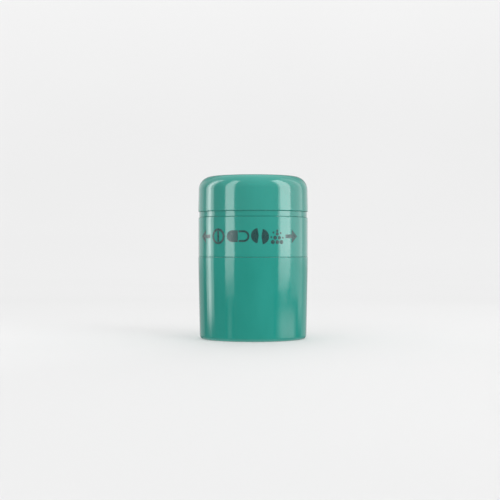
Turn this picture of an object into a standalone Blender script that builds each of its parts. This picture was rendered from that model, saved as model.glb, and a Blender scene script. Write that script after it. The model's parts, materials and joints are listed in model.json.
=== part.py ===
"""Twist pill crusher with a three-compartment tablet store under its lid.

Frame: metres, +Z up. The origin is the centre of the ring that the base stands on, every round
piece turns about Z, and the front of the object faces -Y.

From the bottom up, the outside is a base, a sleeve, a narrow recessed band and a lid. The sleeve
carries a hollow threaded ram that screws down into a cup held in the base, and crushes a tablet
between the head on the ram's end and the ridged plate on the cup's floor. The band is the flange
of a tray that hangs inside the ram and holds two small compartments and one large one.
"""

import math

import bmesh
import bpy
from mathutils import Matrix, Vector

MM = 0.001
SEGMENTS = 36  # facets round every turned piece

# Driving sizes of the outside
BODY_RADIUS = 23.0 * MM
BASE_HEIGHT = 34.0 * MM
SLEEVE_HEIGHT = 16.6 * MM
BAND_HEIGHT = 2.5 * MM
LID_HEIGHT = 14.9 * MM
LID_CORNER = 5.6 * MM  # radius of the lid's rounded top edge
LID_CROWN = 0.25 * MM  # how far the middle of the lid's top stands above its rounded edge
LID_DRAFT = 0.3 * MM  # how much narrower the lid is under that edge than at its rim
FOOT_CORNER = 1.5 * MM  # radius of the base's rounded bottom edge
DRAFT = 0.7 * MM  # how much narrower the base is at its foot
SLEEVE_STEP = 0.12 * MM  # how far the sleeve stands inside the base and the lid
BAND_STEP = 0.45 * MM  # how far the band stands inside the lid
WALL = 1.9 * MM
EDGE = 0.3 * MM  # rounding on each rim
GAP = 0.3 * MM  # clearance left between neighbouring pieces

# Heights of the three parting lines and of the top
SEAM_Z = BASE_HEIGHT
BAND_Z = SEAM_Z + SLEEVE_HEIGHT
LID_Z = BAND_Z + BAND_HEIGHT
TOP_Z = LID_Z + LID_HEIGHT

# The screw: a right-hand trapezoidal thread, so a turn one way lifts the ram by one lead
LEAD = 5.0 * MM
RAM_CORE = 16.1 * MM
RAM_CREST = 17.35 * MM
CUP_BORE = 17.7 * MM
CUP_CREST = 16.5 * MM
RIDGE_ROOT = 3.0 * MM  # width of a ridge where it meets its wall
RIDGE_TIP = 1.8 * MM
RIDGE_BURIED = 0.5 * MM  # how deep a ridge starts inside its wall
RUN_OUT = math.radians(40)  # angle over which each end of a ridge rises out of its wall
RAM_THREAD_Z = 23.9 * MM  # middle of the ram's ridge at angle 0
RAM_TURNS = 1.7
CUP_TURNS = 1.6

# The crushing chamber
SHELL_FLOOR = 2.4 * MM
RING_RECESS = 0.8 * MM  # how far the base's underside is raised inside its standing ring
RING_INNER = 18.6 * MM
LEDGE_DROP = 2.7 * MM  # how far the ledge that carries the cup lies below the base's mouth
BOWL_RADIUS = 13.5 * MM
BOWL_FLOOR = 6.2 * MM
BOWL_TOP = 18.8 * MM  # where the bowl starts to widen into the nut's bore
NUT_FOOT = 21.6 * MM  # where the nut's bore starts
BOWL_WALL = 2.0 * MM
NUT_WALL = 1.6 * MM
KEY_SIZE = 2.0 * MM  # width of the two keys that hold the ridged plate
TOOTH_HEIGHT = 0.9 * MM
TEETH = 20
HEAD_TIP_Z = 9.7 * MM  # lowest point of the head's teeth when the crusher is closed
NOSE_RADIUS = 13.1 * MM
NOSE_END = 14.6 * MM  # lower end of the ram, above the head
DECK_Z = SEAM_Z + 0.4 * MM  # underside of the ram's flange
DECK_THICK = 2.2 * MM
END_WALL = 2.4 * MM  # thickness of the ram's closed end
RAM_BORE = 14.2 * MM
NOSE_BORE = 10.2 * MM
THREAD_FOOT = 22.3 * MM  # where the ram's threaded part starts
NOSE_TOP = 20.3 * MM  # where its narrow nose ends
SEAL_Z = 17.9 * MM
SEAL_THICK = 1.5 * MM
SEAL_CENTRE = 12.6 * MM  # radius of the seal's centre line
PIN_SPREAD = 7.0 * MM  # distance of the head's two pins from the axis
PIN_RADIUS = 1.5 * MM
SCREW_RADIUS = 1.5 * MM
SCREW_CLEAR = 1.8 * MM  # radius of the holes for the pins and the screw
SCREW_END = 12.2 * MM

# The tablet store
TRAY_RADIUS = 18.6 * MM  # inside its wall
NECK_RADIUS = 20.5 * MM
TRAY_FLOOR = 38.4 * MM
TRAY_WALL = 19.6 * MM  # outside the part that hangs in the ram
TRAY_TOP = 63.3 * MM
DIVIDER = 1.4 * MM
TRAY_BEAD = 0.25 * MM
TRAY_BEAD_Z = 56.6 * MM
LID_BEAD = 0.13 * MM
LID_BEAD_Z = 55.2 * MM
SLEEVE_LEDGE = 20.0 * MM  # radius inside the ledge that bears on the ram's flange

KEYS = 6  # lugs that stop a press-fitted piece turning in its shell
KEY_WIDTH = 2.4 * MM

GREEN = (0.024, 0.283, 0.227)
NATURAL = (0.78, 0.76, 0.70)
SILICONE = (0.62, 0.66, 0.64)
STEEL = (0.62, 0.62, 0.60)


# ---------------------------------------------------------------- materials and objects


def plastic(name, colour, roughness, metallic=0.0):
    material = bpy.data.materials.new(name)
    material.use_nodes = True
    shader = material.node_tree.nodes["Principled BSDF"]
    shader.inputs["Base Color"].default_value = (*colour, 1.0)
    shader.inputs["Roughness"].default_value = roughness
    shader.inputs["Metallic"].default_value = metallic
    return material


def add_object(name, shape, parent=None, material=None):
    """Turns a bmesh into an object with its faces pointing out and its round faces smooth."""
    bmesh.ops.remove_doubles(shape, verts=shape.verts, dist=0.001 * MM)
    bmesh.ops.recalc_face_normals(shape, faces=shape.faces)
    mesh = bpy.data.meshes.new(name)
    shape.to_mesh(mesh)
    shape.free()
    mesh.shade_smooth()
    mesh.set_sharp_from_angle(angle=math.radians(35))
    obj = bpy.data.objects.new(name, mesh)
    bpy.context.scene.collection.objects.link(obj)
    if parent:
        obj.parent = parent
        obj.matrix_parent_inverse = parent.matrix_basis.inverted()
    if material:
        mesh.materials.append(material)
    return obj


def add_body(name, height):
    """An empty on the common axis, which the pieces that move together hang from."""
    empty = bpy.data.objects.new(name, None)
    empty.location = (0, 0, height)
    empty.empty_display_size = 5 * MM
    bpy.context.scene.collection.objects.link(empty)
    return empty


def combine(obj, operation, helper):
    """Adds a Boolean whose other shape is a hidden helper."""
    helper.hide_render = True
    helper.display_type = "WIRE"
    modifier = obj.modifiers.new(f"{operation.lower()} {helper.name}", "BOOLEAN")
    modifier.operation = operation
    modifier.solver = "EXACT"
    modifier.object = helper


# ---------------------------------------------------------------- shapes


def arc(centre, radius, start, end, steps):
    """Points of an arc in the (radius, height) plane, from one angle in degrees to another."""
    angles = [math.radians(start + (end - start) * i / steps) for i in range(steps + 1)]
    return [
        (centre[0] + radius * math.cos(a), centre[1] + radius * math.sin(a)) for a in angles
    ]


def turned(profile):
    """A closed outline of (radius, height) points, spun about Z into one closed surface."""
    shape = bmesh.new()
    points = [shape.verts.new((radius, 0, height)) for radius, height in profile]
    outline = [
        shape.edges.new((a, b))
        for a, b in zip(points, points[1:] + points[:1])
        if a.co.x > 0 or b.co.x > 0
    ]
    bmesh.ops.spin(
        shape,
        geom=points + outline,
        cent=(0, 0, 0),
        axis=(0, 0, 1),
        angle=2 * math.pi,
        steps=SEGMENTS,
        use_merge=True,
    )
    return shape


def block(size, centre, angle=0.0):
    """A box of (x, y, z) size about a centre, turned about Z with its centre."""
    shape = bmesh.new()
    place = Matrix.Rotation(angle, 4, "Z") @ Matrix.Translation(Vector(centre))
    bmesh.ops.create_cube(shape, size=1.0, matrix=place @ Matrix.Diagonal((*size, 1.0)))
    return shape


def spokes(count, size, radius, height):
    """Equal boxes set round the axis, centred on a radius and a height."""
    shape = bmesh.new()
    for i in range(count):
        one = block(size, (radius, 0, height), 2 * math.pi * i / count)
        spare = bpy.data.meshes.new("spoke")
        one.to_mesh(spare)
        one.free()
        shape.from_mesh(spare)
        bpy.data.meshes.remove(spare)
    return shape


def rods(radius, bottom, top, spread):
    """A pair of upright rods on opposite sides of the axis."""
    shape = bmesh.new()
    for side in (-1, 1):
        bmesh.ops.create_cone(
            shape,
            cap_ends=True,
            segments=16,
            radius1=radius,
            radius2=radius,
            depth=top - bottom,
            matrix=Matrix.Translation((side * spread, 0, (top + bottom) / 2)),
        )
    return shape


def tee_wall(reach, half, bottom, top):
    """A wall right across the axis and one from its middle towards the front, as one T."""
    plan = [(-reach, half), (-reach, -half), (-half, -half), (-half, -reach)]
    plan += [(-x, y) for x, y in reversed(plan)]
    shape = bmesh.new()
    floor = shape.faces.new([shape.verts.new((x, y, bottom)) for x, y in plan])
    raised = bmesh.ops.extrude_face_region(shape, geom=[floor])
    corners = [item for item in raised["geom"] if isinstance(item, bmesh.types.BMVert)]
    bmesh.ops.translate(shape, verts=corners, vec=(0, 0, top - bottom))
    return shape


def thread_ridge(wall, crest, middle_z, turns):
    """One helical ridge with a trapezoidal section, standing from a wall radius to a crest radius.

    Its middle is at middle_z at angle 0, and it climbs by LEAD for each turn. Each end sinks back
    into the wall over RUN_OUT, so that it has no blunt step.
    """
    outward = 1 if crest > wall else -1
    buried = wall - outward * RIDGE_BURIED
    steps = round(turns * SEGMENTS)
    shape = bmesh.new()
    sections = []
    for i in range(steps + 1):
        angle = 2 * math.pi * turns * i / steps
        to_end = min(angle, 2 * math.pi * turns - angle)
        rise = min(1.0, to_end / RUN_OUT)
        tip = buried + (crest - buried) * (0.3 + 0.7 * rise)
        height = middle_z + LEAD * angle / (2 * math.pi)
        corners = (
            (buried, -RIDGE_ROOT / 2),
            (tip, -RIDGE_TIP / 2),
            (tip, RIDGE_TIP / 2),
            (buried, RIDGE_ROOT / 2),
        )
        sections.append([
            shape.verts.new((r * math.cos(angle), r * math.sin(angle), height + z))
            for r, z in corners
        ])
    for here, there in zip(sections, sections[1:]):
        for k in range(4):
            after = (k + 1) % 4
            shape.faces.new((here[k], here[after], there[after], there[k]))
    shape.faces.new(sections[0])
    shape.faces.new(sections[-1])
    return shape


def toothed_face(shape, rings, height_of):
    """Lays rings of points over a disc: height_of gives a point's height from its ring and angle."""
    steps = 2 * TEETH
    laid = []
    for radius in rings:
        laid.append([
            shape.verts.new((
                radius * math.cos(math.pi * i / TEETH),
                radius * math.sin(math.pi * i / TEETH),
                height_of(radius, i),
            ))
            for i in range(steps)
        ])
    middle = shape.verts.new((0, 0, height_of(0, 0)))
    for inner, outer in zip(laid, laid[1:]):
        for i in range(steps):
            after = (i + 1) % steps
            shape.faces.new((inner[i], inner[after], outer[after], outer[i]))
    for i in range(steps):
        shape.faces.new((middle, laid[0][i], laid[0][(i + 1) % steps]))
    return laid[-1]


def toothed_disc(radius, plain_z, root_z, tip_z):
    """A disc with a plain face at one height and radial teeth, from root to tip, on its other."""
    inner, outer = 2.5 * MM, radius - 0.8 * MM

    def toothed(r, i):
        in_teeth = inner <= r <= outer
        return tip_z if in_teeth and i % 2 else root_z

    shape = bmesh.new()
    rim = toothed_face(shape, (1.5 * MM, inner, outer, radius), toothed)
    back = [shape.verts.new((v.co.x, v.co.y, plain_z)) for v in rim]
    for i, v in enumerate(rim):
        after = (i + 1) % len(rim)
        shape.faces.new((v, rim[after], back[after], back[i]))
    shape.faces.new(back)
    return shape


# ---------------------------------------------------------------- the base


def make_base_shell(body, material):
    """Outer cup of the base, with a standing ring below and a ledge inside its mouth."""
    foot_radius = BODY_RADIUS - DRAFT
    mouth = BODY_RADIUS - WALL
    ledge = mouth - 1.0 * MM
    ledge_z = SEAM_Z - LEDGE_DROP
    profile = [(0, RING_RECESS), (RING_INNER - 0.6 * MM, RING_RECESS), (RING_INNER, 0)]
    profile += arc((foot_radius - FOOT_CORNER, FOOT_CORNER), FOOT_CORNER, -90, 0, 5)
    profile += arc((BODY_RADIUS - EDGE, SEAM_Z - EDGE), EDGE, 0, 90, 2)
    profile += [
        (mouth, SEAM_Z),
        (mouth, ledge_z),
        (ledge, ledge_z),
        (ledge, ledge_z - 2.2 * MM),
        (mouth - 0.2 * MM, ledge_z - 3.6 * MM),
        (foot_radius - WALL, 4.6 * MM),
        (foot_radius - WALL - 2.0 * MM, SHELL_FLOOR),
        (0, SHELL_FLOOR),
    ]
    shell = add_object("base_shell", turned(profile), body, material)
    lugs = spokes(KEYS, (1.2 * MM, KEY_WIDTH, 2.6 * MM), mouth - 0.1 * MM, ledge_z + 1.0 * MM)
    combine(shell, "UNION", add_object("base_shell_lugs", lugs, body))
    return shell


def make_crush_cup(body, material):
    """Strong inner cup: a bowl for the tablet below, the nut thread above, and a keyed flange."""
    rim_z = SEAM_Z - 0.2 * MM
    flange = BODY_RADIUS - WALL - GAP
    flange_z = SEAM_Z - LEDGE_DROP + GAP
    nut_wall = CUP_BORE + NUT_WALL
    bowl_wall = BOWL_RADIUS + BOWL_WALL
    under = BOWL_FLOOR - 2.6 * MM
    profile = [
        (CUP_BORE + 0.5 * MM, rim_z),
        (flange, rim_z),
        (flange, flange_z),
        (nut_wall, flange_z),
        (nut_wall, NUT_FOOT - NUT_WALL),
        (bowl_wall, BOWL_TOP - 2.3 * MM),
        (bowl_wall, SHELL_FLOOR + GAP),
        (bowl_wall - 1.8 * MM, SHELL_FLOOR + GAP),
        (bowl_wall - 1.8 * MM, under),
        (0, under),
        (0, BOWL_FLOOR),
        (BOWL_RADIUS, BOWL_FLOOR),
        (BOWL_RADIUS, BOWL_TOP),
        (CUP_BORE, NUT_FOOT),
        (CUP_BORE, rim_z - 0.5 * MM),
    ]
    cup = add_object("crush_cup", turned(profile), body, material)
    # Turned by half a turn, the nut's ridge runs midway between two turns of the ram's ridge.
    ridge = add_object(
        "crush_cup_ridge", thread_ridge(CUP_BORE, CUP_CREST, RAM_THREAD_Z, CUP_TURNS), body
    )
    ridge.rotation_euler.z = math.pi
    combine(cup, "UNION", ridge)
    notches = spokes(KEYS, (1.6 * MM, KEY_WIDTH + 2 * GAP, 4 * MM), flange, rim_z - 1 * MM)
    combine(cup, "DIFFERENCE", add_object("crush_cup_notches", notches, body))
    keys = spokes(2, (1.2 * MM, KEY_SIZE, 2.4 * MM), BOWL_RADIUS, BOWL_FLOOR + 0.6 * MM)
    combine(cup, "UNION", add_object("crush_cup_keys", keys, body))
    return cup


def make_anvil_plate(body, material):
    """Ridged plate on the bowl's floor, held from turning by two keys in the bowl's wall."""
    underside = BOWL_FLOOR + GAP
    root = HEAD_TIP_Z - 0.4 * MM - TOOTH_HEIGHT
    disc = toothed_disc(BOWL_RADIUS - GAP, underside, root, root + TOOTH_HEIGHT)
    plate = add_object("anvil_plate", disc, body, material)
    slots = spokes(2, (2.6 * MM, KEY_SIZE + 2 * GAP, 8 * MM), BOWL_RADIUS, BOWL_FLOOR)
    combine(plate, "DIFFERENCE", add_object("anvil_plate_slots", slots, body))
    return plate


# ---------------------------------------------------------------- the crusher


def make_ram_seal(body, material):
    """Silicone ring in the ram's groove. It wipes the bowl's wall and keeps powder off the thread."""
    ring = turned(arc((SEAL_CENTRE, SEAL_Z), SEAL_THICK / 2, 0, 315, 7))
    return add_object("ram_seal", ring, body, material)


def make_screw_ram(body, material):
    """Hollow plunger: a keyed flange on top, the screw thread, and a nose with the seal's groove."""
    deck_radius = BODY_RADIUS - WALL - SLEEVE_STEP - GAP
    groove = SEAL_THICK / 2 + 0.35 * MM
    groove_radius = NOSE_RADIUS - 1.4 * MM
    floor = NOSE_END + END_WALL
    profile = [
        (RAM_BORE, DECK_Z + DECK_THICK),
        (deck_radius, DECK_Z + DECK_THICK),
        (deck_radius, DECK_Z),
        (RAM_CORE, DECK_Z),
        (RAM_CORE, THREAD_FOOT),
        (NOSE_RADIUS, NOSE_TOP),
        (NOSE_RADIUS, SEAL_Z + groove),
        (groove_radius, SEAL_Z + groove),
        (groove_radius, SEAL_Z - groove),
        (NOSE_RADIUS, SEAL_Z - groove),
        (NOSE_RADIUS, NOSE_END),
        (SCREW_CLEAR, NOSE_END),
        (SCREW_CLEAR, floor),
        (NOSE_BORE, floor),
        (NOSE_BORE, NOSE_TOP + 0.1 * MM),
        (RAM_BORE, THREAD_FOOT + 0.9 * MM),
    ]
    ram = add_object("screw_ram", turned(profile), body, material)
    ridge = thread_ridge(RAM_CORE, RAM_CREST, RAM_THREAD_Z, RAM_TURNS)
    combine(ram, "UNION", add_object("screw_ram_ridge", ridge, body))
    notches = spokes(
        KEYS, (2.0 * MM, KEY_WIDTH + 2 * GAP, 4 * MM), deck_radius, DECK_Z + DECK_THICK / 2
    )
    combine(ram, "DIFFERENCE", add_object("screw_ram_notches", notches, body))
    pin_holes = rods(SCREW_CLEAR, NOSE_END - 1 * MM, floor + 1 * MM, PIN_SPREAD)
    combine(ram, "DIFFERENCE", add_object("screw_ram_pin_holes", pin_holes, body))
    return ram


def make_crushing_head(body, material):
    """Hard toothed puck under the ram, driven by two pins and held by one screw."""
    top = NOSE_END - GAP
    disc = toothed_disc(NOSE_RADIUS - 0.1 * MM, top, HEAD_TIP_Z + TOOTH_HEIGHT, HEAD_TIP_Z)
    head = add_object("crushing_head", disc, body, material)
    pins = rods(PIN_RADIUS, top - 1 * MM, NOSE_END + 1.8 * MM, PIN_SPREAD)
    combine(head, "UNION", add_object("crushing_head_pins", pins, body))
    low, high = SCREW_END - GAP, top + 0.7 * MM
    hole = turned([(0, low), (SCREW_CLEAR, low), (SCREW_CLEAR, high), (0, high)])
    combine(head, "DIFFERENCE", add_object("crushing_head_hole", hole, body))
    return head


def make_head_screw(body, material):
    """Pan-head screw that holds the crushing head, driven from inside the hollow ram."""
    seat = NOSE_END + END_WALL + GAP
    pan = 2.9 * MM
    profile = [(0, SCREW_END), (0.9 * MM, SCREW_END), (SCREW_RADIUS, SCREW_END + 0.8 * MM)]
    profile += [(SCREW_RADIUS, seat), (pan, seat), (pan, seat + 0.9 * MM)]
    profile += [(pan - 0.8 * MM, seat + 1.7 * MM), (0, seat + 1.9 * MM)]
    screw = add_object("head_screw", turned(profile), body, material)
    for name, angle in (("one", 0), ("two", math.pi / 2)):
        bar = block((3.4 * MM, 0.7 * MM, 1.8 * MM), (0, 0, seat + 1.8 * MM), angle)
        combine(screw, "DIFFERENCE", add_object(f"head_screw_recess_{name}", bar, body))
    return screw


def make_crusher_sleeve(body, material):
    """Outer sleeve that the hand turns. An inner ledge bears on the ram's flange."""
    outer = BODY_RADIUS - SLEEVE_STEP
    bore = outer - WALL
    bottom = SEAM_Z + GAP
    top = BAND_Z - GAP / 2
    ledge_z = DECK_Z + DECK_THICK + GAP
    profile = arc((outer - EDGE, bottom + EDGE), EDGE, -90, 0, 2)
    profile += arc((outer - EDGE, top - EDGE), EDGE, 0, 90, 2)
    profile += [
        (bore, top),
        (bore, ledge_z + 2.4 * MM),
        (SLEEVE_LEDGE, ledge_z + 1.6 * MM),
        (SLEEVE_LEDGE, ledge_z),
        (bore, ledge_z),
        (bore, bottom),
    ]
    sleeve = add_object("crusher_sleeve", turned(profile), body, material)
    lugs = spokes(
        KEYS, (1.3 * MM, KEY_WIDTH, 2.3 * MM), SLEEVE_LEDGE + 0.75 * MM, ledge_z - 0.95 * MM
    )
    combine(sleeve, "UNION", add_object("crusher_sleeve_lugs", lugs, body))
    return sleeve


def make_compartment_tray(body, material):
    """Tray that hangs in the ram. A T of walls parts it into one large and two small stores."""
    bottom = DECK_Z + DECK_THICK + GAP
    flange = BODY_RADIUS - BAND_STEP
    flange_z, flange_top = BAND_Z + GAP / 2, LID_Z - GAP
    bead = NECK_RADIUS + TRAY_BEAD
    profile = [
        (0, bottom),
        (TRAY_WALL - 0.8 * MM, bottom),
        (TRAY_WALL, bottom + 0.8 * MM),
        (TRAY_WALL, 46.4 * MM),
        (NECK_RADIUS, 47.3 * MM),
        (NECK_RADIUS, flange_z),
        (flange - EDGE, flange_z),
        (flange, flange_z + EDGE),
        (flange, flange_top - EDGE),
        (flange - EDGE, flange_top),
        (NECK_RADIUS, flange_top),
        (NECK_RADIUS, TRAY_BEAD_Z - 2 * TRAY_BEAD),
        (bead, TRAY_BEAD_Z - TRAY_BEAD),
        (bead, TRAY_BEAD_Z + TRAY_BEAD),
        (NECK_RADIUS, TRAY_BEAD_Z + 2 * TRAY_BEAD),
        (NECK_RADIUS, TRAY_TOP - 0.4 * MM),
        (NECK_RADIUS - 0.4 * MM, TRAY_TOP),
        (TRAY_RADIUS, TRAY_TOP),
        (TRAY_RADIUS, TRAY_FLOOR + 1.5 * MM),
        (TRAY_RADIUS - 1.5 * MM, TRAY_FLOOR),
        (0, TRAY_FLOOR),
    ]
    tray = add_object("compartment_tray", turned(profile), body, material)
    reach = TRAY_RADIUS + 0.5 * MM
    walls = tee_wall(reach, DIVIDER / 2, TRAY_FLOOR - 0.5 * MM, TRAY_TOP - 0.4 * MM)
    combine(tray, "UNION", add_object("compartment_tray_walls", walls, body))
    return tray


# ---------------------------------------------------------------- the lid


def make_lid_shell(body, material):
    """Push-on lid with a rounded top edge and a low bead that clicks past the tray's bead."""
    edge_z = TOP_Z - LID_CROWN
    upper = BODY_RADIUS - LID_DRAFT
    flat = upper - LID_CORNER
    bore = NECK_RADIUS + 0.55 * MM
    inner_corner = LID_CORNER - WALL - 0.1 * MM
    ceiling = TOP_Z - WALL - 0.1 * MM
    bead = bore - LID_BEAD
    profile = arc((BODY_RADIUS - EDGE, LID_Z + EDGE), EDGE, -90, 0, 2)
    profile += arc((flat, edge_z - LID_CORNER), LID_CORNER, 0, 90, 7)
    profile += [(flat * k / 3, TOP_Z - LID_CROWN * (k / 3) ** 2) for k in (2, 1, 0)]
    profile += [(0, ceiling)]
    profile += arc((bore - inner_corner, ceiling - inner_corner), inner_corner, 90, 0, 4)
    profile += [
        (bore, LID_BEAD_Z + 0.5 * MM),
        (bead, LID_BEAD_Z + 0.3 * MM),
        (bead, LID_BEAD_Z - 0.3 * MM),
        (bore, LID_BEAD_Z - 0.5 * MM),
        (bore, LID_Z),
    ]
    return add_object("lid_shell", turned(profile), body, material)


def make_lid_liner(body, material):
    """Soft disc in the lid's ceiling that closes the tops of all three compartments."""
    bottom = TRAY_TOP + GAP
    top = TOP_Z - WALL - 0.4 * MM
    rim = NECK_RADIUS - 1.0 * MM
    profile = [
        (0, bottom),
        (rim, bottom),
        (rim, bottom + 1.4 * MM),
        (rim - 1.2 * MM, top),
        (0, top),
    ]
    return add_object("lid_liner", turned(profile), body, material)


def main():
    for obj in list(bpy.data.objects):
        bpy.data.objects.remove(obj)
    green = plastic("green_gloss_plastic", GREEN, 0.22)
    natural = plastic("natural_hard_plastic", NATURAL, 0.35)
    silicone = plastic("silicone", SILICONE, 0.55)
    steel = plastic("screw_steel", STEEL, 0.3, metallic=1.0)

    base = add_body("base_body", 0)
    make_base_shell(base, green)
    make_crush_cup(base, natural)
    make_anvil_plate(base, natural)

    seal = add_body("seal_body", SEAL_Z)
    make_ram_seal(seal, silicone)

    crusher = add_body("crusher_body", SEAM_Z)
    make_screw_ram(crusher, natural)
    make_crushing_head(crusher, natural)
    make_head_screw(crusher, steel)
    make_crusher_sleeve(crusher, green)
    make_compartment_tray(crusher, green)

    lid = add_body("lid_body", LID_Z)
    make_lid_shell(lid, green)
    make_lid_liner(lid, natural)


main()
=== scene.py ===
"""Looks of the twist pill crusher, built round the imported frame.

Every piece is turned, threaded or moulded again at full smoothness, in metres and in the frame's
own coordinates: +Z up the common axis, the printed front facing -Y.
"""

import json
import math
import random

import bmesh
import bpy
from mathutils import Matrix, Vector

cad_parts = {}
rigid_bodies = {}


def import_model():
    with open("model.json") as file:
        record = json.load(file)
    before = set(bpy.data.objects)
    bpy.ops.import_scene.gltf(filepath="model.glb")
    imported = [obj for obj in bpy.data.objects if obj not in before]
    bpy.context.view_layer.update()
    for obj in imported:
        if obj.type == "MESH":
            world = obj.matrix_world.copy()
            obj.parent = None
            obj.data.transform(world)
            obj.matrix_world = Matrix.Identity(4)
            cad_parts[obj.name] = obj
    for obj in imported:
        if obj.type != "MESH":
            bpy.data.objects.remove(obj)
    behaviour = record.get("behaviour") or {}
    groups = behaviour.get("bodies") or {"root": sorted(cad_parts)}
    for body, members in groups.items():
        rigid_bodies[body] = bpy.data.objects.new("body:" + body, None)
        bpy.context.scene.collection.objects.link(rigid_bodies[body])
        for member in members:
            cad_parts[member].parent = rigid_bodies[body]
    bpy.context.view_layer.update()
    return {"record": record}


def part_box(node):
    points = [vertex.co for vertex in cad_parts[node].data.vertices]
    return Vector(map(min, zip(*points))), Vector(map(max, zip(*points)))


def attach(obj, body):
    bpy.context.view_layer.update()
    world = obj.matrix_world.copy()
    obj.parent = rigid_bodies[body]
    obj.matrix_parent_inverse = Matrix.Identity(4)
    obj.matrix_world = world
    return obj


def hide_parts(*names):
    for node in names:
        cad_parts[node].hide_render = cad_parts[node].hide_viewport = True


MM = 0.001
ROUND = 144  # facets round every turned piece

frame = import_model()

# ------------------------------------------------------------------ sizes, from the frame

BASE_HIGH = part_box("base_shell")[1]
CUP_LOW, CUP_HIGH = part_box("crush_cup")
ANVIL_LOW, ANVIL_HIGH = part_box("anvil_plate")
SEAL_LOW, SEAL_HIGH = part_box("ram_seal")
RAM_LOW, RAM_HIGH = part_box("screw_ram")
HEAD_LOW, HEAD_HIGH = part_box("crushing_head")
SCREW_LOW, SCREW_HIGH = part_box("head_screw")
SLEEVE_LOW, SLEEVE_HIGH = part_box("crusher_sleeve")
TRAY_LOW, TRAY_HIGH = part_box("compartment_tray")
LID_LOW, LID_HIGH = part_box("lid_shell")
LINER_LOW, LINER_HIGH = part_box("lid_liner")

BODY = BASE_HIGH.x  # outer radius of the cylinder
RISE = frame["record"]["behaviour"]["couplings"][0]["ratio"]  # metres per radian of the twist
LEAD = RISE * 2 * math.pi

WALL = 1.9 * MM
GAP = 0.3 * MM  # play that the frame leaves between neighbouring pieces
SNUG = 0.115 * MM  # how far each visible rim closes in on its neighbour
LID_SNUG = 0.135 * MM  # how far the lid and the band close in on each other
DRAFT = 0.7 * MM  # how much narrower the base is at its foot
LID_DRAFT = 0.3 * MM  # how much narrower the lid is under its rounded edge
LID_CROWN = 0.25 * MM  # how far the middle of the lid's top stands above its edge

# rounding
EDGE = 0.16 * MM  # rims that show
LID_EDGE = 0.32 * MM  # the lid's lower rim, which stands proud of the band
BAND_EDGE = 0.08 * MM  # the band's upper edge
LID_CORNER = 5.6 * MM
FOOT_CORNER = 1.5 * MM
SOFT = 0.5 * MM  # inner corners
BLUNT = 0.3 * MM  # pins, slots and rings
TIGHT = 0.2 * MM  # keys and lugs
FINE = 0.15 * MM  # small teeth and grooves

# the thread and what it drives
RAM_CORE, RAM_CREST, RAM_TURNS = 16.1 * MM, 17.35 * MM, 1.7
NUT_BORE, NUT_CREST, NUT_TURNS = 17.7 * MM, 16.5 * MM, 1.6
THREAD_Z = 23.9 * MM  # middle of each ridge at its lower end
BOWL = 13.5 * MM  # radius of the tablet's bowl
BOWL_TOP, NUT_FOOT = 18.8 * MM, 21.6 * MM  # where the bowl ends, and where the nut's bore starts
END_WALL = 2.4 * MM  # thickness of the ram's closed end
PIN_SPREAD = 7.0 * MM  # distance of the head's two pins from the axis
SHANK = 1.5 * MM  # radius of the pins and of the head's screw
CLEAR_HOLE = 1.8 * MM  # radius of the holes for them
TEETH = 20
TOOTH_HEIGHT = 0.9 * MM

KEYS = 6  # lugs that stop a press-fitted piece turning in its shell
KEY_WIDTH = 2.4 * MM
ANVIL_KEY = 2.0 * MM  # width of the two keys that hold the anvil plate
HALF_DIVIDER = 0.7 * MM  # half the thickness of the walls between the compartments

GLANCING_LIGHT = 0.4  # most light that a rim reflects from a panel


# ------------------------------------------------------------------ shapes


def rounded(corners, step=math.radians(13), pieces=None):
    """An outline from (x, y, fillet) corners. A corner with a fillet becomes an arc of it.

    An arc has a given number of pieces, or as many as keep each within a step's angle.
    """
    points = []
    for i, corner in enumerate(corners):
        here = Vector(corner[:2])
        fillet = corner[2] if len(corner) > 2 else 0
        if not fillet:
            points.append(here)
            continue
        back = (Vector(corners[i - 1][:2]) - here).normalized()
        ahead = (Vector(corners[(i + 1) % len(corners)][:2]) - here).normalized()
        half = back.angle(ahead) / 2
        centre = here + (back + ahead).normalized() * (fillet / math.sin(half))
        first = here + back * (fillet / math.tan(half)) - centre
        last = here + ahead * (fillet / math.tan(half)) - centre
        turn = math.atan2(first.x * last.y - first.y * last.x, first.dot(last))
        count = pieces or max(2, math.ceil(abs(turn) / step))
        for k in range(count + 1):
            points.append(centre + Matrix.Rotation(turn * k / count, 2) @ first)
    return [(p.x, p.y) for p in points]


def sweep(centre, radius, start, end, steps=8):
    """Points of an arc between two angles in degrees."""
    angles = [math.radians(start + (end - start) * k / steps) for k in range(steps + 1)]
    return [
        (centre[0] + radius * math.cos(a), centre[1] + radius * math.sin(a)) for a in angles
    ]


def add_mesh(name, vertices, faces):
    """A new object whose mesh has these vertices and faces."""
    mesh = bpy.data.meshes.new(name)
    mesh.from_pydata([tuple(v) for v in vertices], [], faces)
    obj = bpy.data.objects.new(name, mesh)
    bpy.context.scene.collection.objects.link(obj)
    return obj


def face_out(obj):
    """Points every face of a closed mesh outwards."""
    shape = bmesh.new()
    shape.from_mesh(obj.data)
    bmesh.ops.recalc_face_normals(shape, faces=shape.faces)
    shape.to_mesh(obj.data)
    shape.free()
    return obj


def turned(name, outline, facets=ROUND):
    """A closed outline of (radius, height) points turned round the Z axis."""
    vertices, rows = [], []
    for radius, height in outline:
        if radius < 1e-7:
            rows.append([len(vertices)] * facets)
            vertices.append((0, 0, height))
            continue
        rows.append(list(range(len(vertices), len(vertices) + facets)))
        for k in range(facets):
            angle = 2 * math.pi * k / facets
            vertices.append((radius * math.cos(angle), radius * math.sin(angle), height))
    faces = []
    for low, high in zip(rows, rows[1:] + rows[:1]):
        if low[0] == low[1] and high[0] == high[1]:
            continue
        for k in range(facets):
            after = (k + 1) % facets
            corners = [low[k], low[after], high[after], high[k]]
            faces.append(list(dict.fromkeys(corners)))
    return face_out(add_mesh(name, vertices, faces))


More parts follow.
